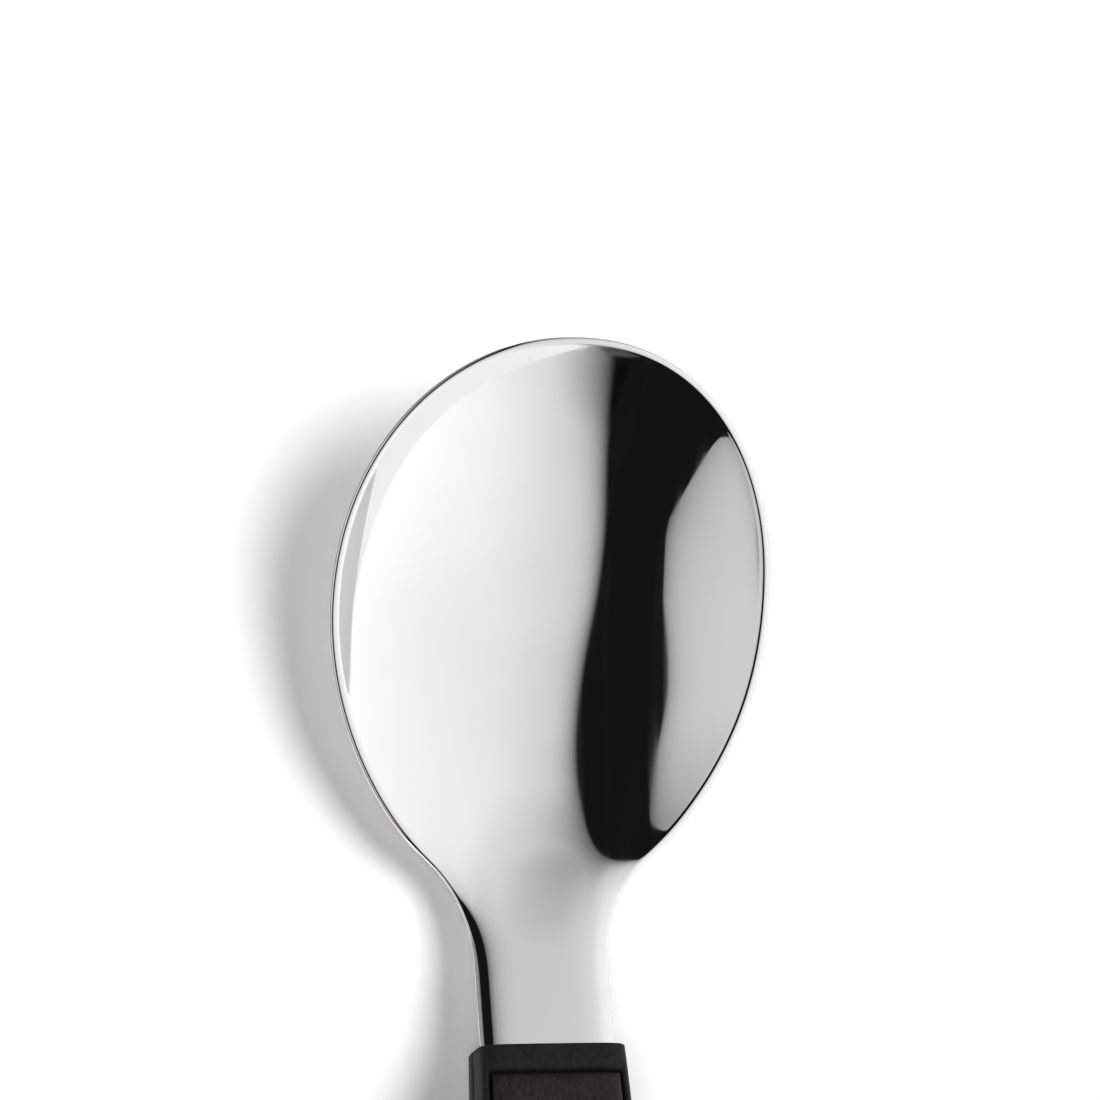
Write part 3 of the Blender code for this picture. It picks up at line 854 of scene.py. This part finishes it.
plastic = moulded("grained_plastic", (0.004, 0.0038, 0.0036), (0.011, 0.0105, 0.010), 0.55, 0.66, 0.06 * MM)
rubber = moulded("soft_rubber", (0.006, 0.0057, 0.0054), (0.019, 0.018, 0.0165), 0.60, 0.72, 0.08 * MM)
seal = moulded("seal_rubber", (0.030, 0.030, 0.030), (0.040, 0.040, 0.040), 0.60, 0.75, 0.01 * MM)
dowel, nodes, links, shader = new_look("ground_dowel", (0.60, 0.60, 0.60), 0.30, 1.0)
turning = add_noise(nodes, links, 3000.0, (0.05, 0.05, 1.0))
links.new(add_range(nodes, links, turning, 0.22, 0.38), shader.inputs["Roughness"])
looks = {
    "upper_handle_half": plastic,
    "lower_handle_half": plastic,
    "upper_soft_pad": rubber,
    "lower_soft_pad": rubber,
    "neck_seal": seal,
    "tang_pin_front": dowel,
    "tang_pin_rear": dowel,
}
for name, look in looks.items():
    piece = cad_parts[name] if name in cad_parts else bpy.data.objects[name]
    piece.data.materials.clear()
    piece.data.materials.append(look)
print("looks given to", ", ".join(looks))

# %% [markdown]
# Floor and background.
# The spoon lies on white with a soft shadow to its left. A white floor under a white sky gives that without
# any edge between them. The sky is fully bright only where the camera or a mirror looks at it. As a light it
# is almost nothing, or it would fill the shadow.

# %% Floor
FLOOR_HALF = 3.0
floor = add_piece(
    "floor",
    [(x * FLOOR_HALF, y * FLOOR_HALF, 0.0) for x, y in ((-1, -1), (1, -1), (1, 1), (-1, 1))],
    [(0, 1, 2, 3)],
    NUDGE,
)
paper, nodes, links, shader = new_look("white_paper", (0.985, 0.985, 0.985), 0.9)
shader.inputs["Specular IOR Level"].default_value = 0.0
fibres = add_noise(nodes, links, 400.0)
tint = add_tint(nodes, links, fibres, (0.980, 0.976, 0.971), (0.996, 0.994, 0.991))
links.new(tint, shader.inputs["Base Color"])
floor.data.materials.append(paper)
print(f"the floor is {2 * FLOOR_HALF:.0f} m wide")

# %% Sky
FILL = 0.02
world = bpy.data.worlds.new("studio")
bpy.context.scene.world = world
world.use_nodes = True
nodes, links = world.node_tree.nodes, world.node_tree.links
sky = nodes["Background"]
sky.inputs["Color"].default_value = (1.0, 0.995, 0.985, 1.0)
sky.inputs["Strength"].default_value = FILL
seen = nodes.new("ShaderNodeBackground")
seen.inputs["Color"].default_value = (1.0, 1.0, 1.0, 1.0)
rays = nodes.new("ShaderNodeLightPath")
either = nodes.new("ShaderNodeMath")
either.operation = "MAXIMUM"
any_seen = nodes.new("ShaderNodeMath")
any_seen.operation = "MAXIMUM"
choose = nodes.new("ShaderNodeMixShader")
links.new(rays.outputs["Is Camera Ray"], either.inputs[0])
links.new(rays.outputs["Is Glossy Ray"], either.inputs[1])
links.new(either.outputs["Value"], any_seen.inputs[0])
links.new(rays.outputs["Is Transmission Ray"], any_seen.inputs[1])
links.new(any_seen.outputs["Value"], choose.inputs["Fac"])
links.new(sky.outputs["Background"], choose.inputs[1])
links.new(seen.outputs["Background"], choose.inputs[2])
links.new(choose.outputs["Shader"], nodes["World Output"].inputs["Surface"])
print("as a light the sky has a strength of", FILL)

# %% [markdown]
# What the steel mirrors.
# The bowl mirrors almost the whole room above it, so the picture in it is made by what hangs there: a dark
# ceiling, a bright diffuser over its right half, and a grey card on the left. A picture of a room could be
# wrapped round the scene instead, but cards can be moved one by one, until each edge in the bowl falls where
# the photograph has it. Far-off things are seen by direction alone, so each card is given on a flat ceiling
# of height 1, and then drawn in to a dome of a handy size.

# %% Helpers for cards
DOME_MIDDLE = MOUTH + Vector((0, WIDEST_Y, 0))
FULL_SCALE = 100.0


def ceiling_card(name, radius, rows, emission):
    """A card made of rows of ceiling points (right, forward, degrees from one edge, brightness)."""
    points, faces, uv = [], [], []
    width = len(rows[0])
    for row in rows:
        for right, forward, degrees, level in row:
            points.append(DOME_MIDDLE + radius * Vector((right, forward, 1.0)).normalized())
            uv.append((degrees / FULL_SCALE, level))
    for r in range(len(rows) - 1):
        for c in range(width - 1):
            i = r * width + c
            faces.append((i, i + width, i + width + 1, i + 1))
    mesh = bpy.data.meshes.new(name)
    mesh.from_pydata(points, [], faces)
    layer = mesh.uv_layers.new(name="across")
    for loop in mesh.loops:
        layer.data[loop.index].uv = uv[loop.vertex_index]
    card = bpy.data.objects.new(name, mesh)
    bpy.context.scene.collection.objects.link(card)
    card.visible_camera = False
    card.visible_diffuse = False
    card.visible_shadow = False
    card.visible_transmission = False
    mesh.materials.append(emission)


print("cards hang round", tuple(round(value / MM, 1) for value in DOME_MIDDLE), "mm")

# %% Light of a card


def glow(name, stops):
    """Light that changes across a card, given as pairs of degrees from one edge and brightness."""
    look = bpy.data.materials.new(name)
    look.use_nodes = True
    nodes, links = look.node_tree.nodes, look.node_tree.links
    nodes.clear()
    uv = nodes.new("ShaderNodeUVMap")
    split = nodes.new("ShaderNodeSeparateXYZ")
    ramp = nodes.new("ShaderNodeValToRGB")
    lamp = nodes.new("ShaderNodeEmission")
    out = nodes.new("ShaderNodeOutputMaterial")
    links.new(uv.outputs["UV"], split.inputs["Vector"])
    links.new(split.outputs["X"], ramp.inputs["Fac"])
    links.new(split.outputs["Y"], lamp.inputs["Strength"])
    links.new(ramp.outputs["Color"], lamp.inputs["Color"])
    links.new(lamp.outputs["Emission"], out.inputs["Surface"])
    while len(ramp.color_ramp.elements) < len(stops):
        ramp.color_ramp.elements.new(0.5)
    for element, (degrees, level) in zip(ramp.color_ramp.elements, stops):
        element.position = degrees / FULL_SCALE
        element.color = (level, level, level, 1.0)
    return look


def tangents(first, last, count):
    """Tangents of evenly spaced angles in degrees: places on the ceiling."""
    return [math.tan(math.radians(angle)) for angle in even_steps(first, last, count)]


print(f"a card's light can change over {FULL_SCALE:.0f} degrees")

# %% [markdown]
# The dark ceiling.
# A studio is dark apart from its lights, and that darkness is the black band in the bowl. A sky that is black
# for mirrors would do, but then the low white surroundings, which brighten the rim, would go black as well.
# So the dark hangs overhead as a card, and stops short of the horizon on both sides.

# %% Dark ceiling
ROOM = 0.008
ROOM_DOME = 1.6
HORIZON = 89.7
BACK_HORIZON = -89.5
LEFT_END = -86.0
RIGHT_END = 80.0
WIDEN_FROM = 0.6
WIDEN_RUN = 1.2
room = []
for back in tangents(BACK_HORIZON, HORIZON, 60):
    left_end = mix(LEFT_END, BACK_HORIZON, smooth((-back - WIDEN_FROM) / WIDEN_RUN))
    room.append([(right, -back, 0.0, 1.0) for right in tangents(left_end, RIGHT_END, 60)])
ceiling_card("dark_ceiling", ROOM_DOME, room, glow("dark_ceiling", [(0, ROOM), (FULL_SCALE, ROOM)]))
print(f"the dark ceiling has {len(room)} rows")

# %% [markdown]
# The edge of the diffuser.
# A large sheet of diffusing cloth hangs over the right half of the room. Its left edge is what separates the
# bright side of the bowl from the black band. Overhead the edge runs straight, and over the handle it swings
# to the right. Two planes through the spoon carry the two stretches, and the bend between them is rounded.

# %% Edge of the diffuser
EDGE_OVERHEAD = -0.0875
EDGE_SWING = 0.187
EDGE_TURNS = 1.105
EDGE_BEND = 1.7
OVERHEAD_SIDE = Vector((1.0, 0.0, -EDGE_OVERHEAD)).normalized()
SWUNG_SIDE = Vector((1.0, EDGE_SWING, EDGE_SWING * EDGE_TURNS - EDGE_OVERHEAD)).normalized()


def from_edge(away):
    """Degrees from the diffuser's left edge: straight overhead, it swings right far back over the handle."""
    one, other = (math.degrees(math.asin(side.dot(away))) for side in (OVERHEAD_SIDE, SWUNG_SIDE))
    return min(one, other) - EDGE_BEND * math.log1p(math.exp(-abs(one - other) / EDGE_BEND))


print(f"overhead, the diffuser starts {math.degrees(math.atan(EDGE_OVERHEAD)):.1f} degrees from straight up")

# %% [markdown]
# Brightness of the diffuser.
# Cloth lit from behind isn't even: it fades in from its edge, ever more gently towards the front, and is
# brightest far out. A lamp behind a translucent sheet could give that, but slowly and with noise, so the card
# glows by itself, with a brightness that a formula gives for the angle from its edge.

# %% Brightness of the diffuser
BRIGHT_START = -0.62
BRIGHT_LEVEL = 0.84
BRIGHT_FADE = 3.17
FAR_LEVEL = 0.18
FAR_START = 8.0
FAR_RUN = 27.0
WIDER_ALL = 0.33
WIDER_FROM = -25.0
WIDER_RUN = 20.0
# Each term: how much wider the fade gets, from how far forward, over what run, and how far from the edge.
WIDER_NEAR = ((0.5, 5.0, 9.0, 22.0), (2.2, 15.0, 11.0, 34.0), (3.2, 27.5, 6.0, 33.0))
LOW_GAIN = 0.34
LOW_FROM = 0.75
LOW_RUN = 20.0
BACK_DIM = 0.4
BACK_FROM = -70.0
BACK_RUN = 10.0


def brightness(degrees):
    """Brightness so far from the edge: a quick rise behind it, then a slow one towards the far side."""
    near = BRIGHT_LEVEL * (1 - math.exp(min(BRIGHT_START - degrees, 0.0) / BRIGHT_FADE))
    return max(near + FAR_LEVEL * smooth((degrees - FAR_START) / FAR_RUN), ROOM)


def softened(degrees, forward):
    """The further to the front, the wider the angle over which the diffuser fades in."""
    if degrees < 0:
        return degrees
    wide = 1 + WIDER_ALL * smooth((forward - WIDER_FROM) / WIDER_RUN)
    for wider, start, run, reach in WIDER_NEAR:
        wide += wider * smooth((forward - start) / run) * math.exp(-((degrees / reach) ** 4))
    return degrees / wide


def evenness(away, degrees, forward):
    """The diffuser is brighter low down on the right, and dimmer at its far end over the handle."""
    low = 1 + LOW_GAIN * max(LOW_FROM - away.z, 0.0) * smooth(degrees / LOW_RUN)
    return low * (1 - BACK_DIM * smooth((BACK_FROM - forward) / BACK_RUN))


print(f"ten degrees from its edge the diffuser has a brightness of {brightness(10.0):.2f}")

# %% Diffuser
DIFFUSER_DOME = 1.5
DIFFUSER_FRONT = -60.0
CROWDING = 1.5
MARGIN = 2.0
MARGIN_SHARE = 0.05
diffuser = []
for back in tangents(DIFFUSER_FRONT, HORIZON, 260):
    edge = max(EDGE_OVERHEAD, EDGE_OVERHEAD + EDGE_SWING * (back - EDGE_TURNS))
    first = math.degrees(math.atan(edge - MARGIN_SHARE * math.hypot(1.0, back)))
    diffuser.append([])
    for share in even_steps(0.0, 1.0, 70):
        right = math.tan(math.radians(mix(first, HORIZON, share**CROWDING)))
        away = Vector((right, -back, 1.0)).normalized()
        forward = math.degrees(math.asin(away.y))
        degrees = from_edge(away)
        level = evenness(away, degrees, forward)
        diffuser[-1].append((right, -back, MARGIN + softened(degrees, forward), level))
bright_stops = [-MARGIN] + even_steps(BRIGHT_START, 6.0, 12)
bright_stops += even_steps(FAR_START, FAR_START + FAR_RUN, 9)
shine = glow("diffuser", [(MARGIN + degrees, brightness(degrees)) for degrees in bright_stops])
ceiling_card("diffuser", DIFFUSER_DOME, diffuser, shine)
print(f"the diffuser's light has {len(bright_stops)} stops")

# %% [markdown]
# The grey card.
# A smaller card on the left is mirrored in the right wall of the bowl, as the pale patch beside the black
# band. Its outline could be traced in many points, but a few curves give it: a rounded end over the handle,
# and a top edge that sags and then turns up. It is dimmer along its edges, as a card that a lamp only grazes.

# %% Outline of the grey card
CARD_FOOT = -66.8
CARD_TOP = -29.0
CARD_FRONT = 2.5
END_BACK = -3.82
END_AT = -1.65
FOOT_REACH = 0.68
FOOT_RISE = 2.32
FOOT_POWER = 1.7
END_SLOPE = 3.08
END_ROUND = 0.37
# The three bends of the top edge: how many degrees, from how far forward, over what run.
TOP_SAG = (3.2, -0.63, 0.74)
TOP_UPTURN = (7.6, 0.09, 0.30)
TOP_DROOP = (1.5, 1.1, 0.4)


def card_end(lean):
    """Where the card ends over the handle: rounded off to its foot, and running out straight to its top."""
    across = math.tan(math.radians(lean)) - END_AT
    if across > 0:
        return END_BACK + END_SLOPE * (math.hypot(across, END_ROUND) - END_ROUND)
    reach = min(-across / FOOT_REACH, 1.0)
    return END_BACK + FOOT_RISE * (1 - (1 - reach**FOOT_POWER) ** (1 / FOOT_POWER))


def bend(amount, start, run, at):
    return amount * smooth((at - start) / run)


def card_top(forward):
    """Lean of the card's top edge: it sags towards the front, then turns up, and droops at the back."""
    return CARD_TOP - bend(*TOP_SAG, forward) + bend(*TOP_UPTURN, forward) - bend(*TOP_DROOP, -forward)


print(f"straight ahead, the card's top edge leans {card_top(0.0):.1f} degrees")

# %% Grey card
CARD_DOME = 1.4
END_DIM = 0.5
END_DIM_RUN = 1.1
FRONT_DIM = 0.5
FRONT_DIM_FROM = 0.15
FRONT_DIM_RUN = 0.25
PALE_LEVEL = 0.77
PALE_DROP = 0.41
PALE_FADE = 2.9
PALE_REACH = 15.0
grey = []
for share in even_steps(0.0, 1.0, 130):
    grey.append([])
    for part in even_steps(0.0, 1.0, 60):
        lean = mix(CARD_FOOT, CARD_TOP, part)
        end = card_end(lean)
        forward = mix(end, CARD_FRONT, share)
        top = card_top(forward)
        lean += (top - CARD_TOP) * part
        level = 1 - END_DIM * math.exp((end - forward) / END_DIM_RUN)
        level *= 1 - FRONT_DIM * smooth((forward - FRONT_DIM_FROM) / FRONT_DIM_RUN)
        grey[-1].append((math.tan(math.radians(lean)), forward, top - lean, level))
pale_stops = [
    (below, PALE_LEVEL - PALE_DROP * math.exp(-below / PALE_FADE))
    for below in even_steps(0.0, PALE_REACH, 10)
]
ceiling_card("grey_card", CARD_DOME, grey, glow("grey_card", pale_stops))
print(f"the grey card brightens from {pale_stops[0][1]:.2f} to {pale_stops[-1][1]:.2f} below its top edge")

# %% [markdown]
# Lamps.
# The shadow falls to the left and is darkest beside the middle of the bowl, so the main light is broad and
# stands high on the right, a little in front. A weaker light left of overhead and a faint one low on the left
# lighten the shadow from its own side. Sun lamps are used, because they light the floor evenly out to the
# horizon; a wide angle makes them soft. The cards already stand for all of them in the steel, so they aren't
# mirrored themselves.

# %% Lamps


def add_lamp(name, right, forward, width, floor_light):
    """A soft light so many degrees right and forward of straight up, of a given width in degrees."""
    lean = math.tan(math.radians(right))
    ahead = math.tan(math.radians(forward)) / math.cos(math.radians(right))
    away = Vector((lean, ahead, 1.0)).normalized()
    lamp = bpy.data.lights.new(name, "SUN")
    lamp.angle = math.radians(width)
    lamp.energy = floor_light * math.pi / away.z
    holder = bpy.data.objects.new(name, lamp)
    holder.location = DOME_MIDDLE + away
    holder.rotation_euler = away.to_track_quat("Z", "Y").to_euler()
    holder.visible_glossy = False
    holder.visible_camera = False
    bpy.context.scene.collection.objects.link(holder)
    return floor_light


light = add_lamp("main_light", 28.0, 14.0, 34.0, 0.726)
light += add_lamp("overhead", -20.0, 2.0, 20.0, 0.274)
light += add_lamp("low_left", -60.0, -45.0, 20.0, 0.075)
print(f"together the lamps light the floor to {light:.2f} of white")

# %% [markdown]
# Camera.
# The picture was taken from above, a little to the left, through a long lens. Its angles and distance were
# fitted so that the model's outline falls on the photographed one.

# %% Camera
CAMERA_TARGET = Vector((-10.24, 76.93, 9.2)) * MM
CAMERA_LEFT = math.radians(15.59)
CAMERA_BACK = math.radians(0.85)
CAMERA_DISTANCE = 0.70
VIEW_WIDTH = 106.4 * MM
SENSOR = 36.0
eye = bpy.data.cameras.new("camera")
eye.sensor_width = SENSOR
eye.lens = SENSOR * CAMERA_DISTANCE / VIEW_WIDTH
eye.clip_start = 0.01
camera = bpy.data.objects.new("camera", eye)
camera.rotation_euler = (CAMERA_BACK, -CAMERA_LEFT, 0.0)
camera.location = CAMERA_TARGET + camera.rotation_euler.to_matrix() @ Vector((0, 0, CAMERA_DISTANCE))
bpy.context.scene.collection.objects.link(camera)
bpy.context.scene.camera = camera
bpy.context.scene.view_settings.view_transform = "Standard"
print(f"the lens is {eye.lens:.0f} mm long")
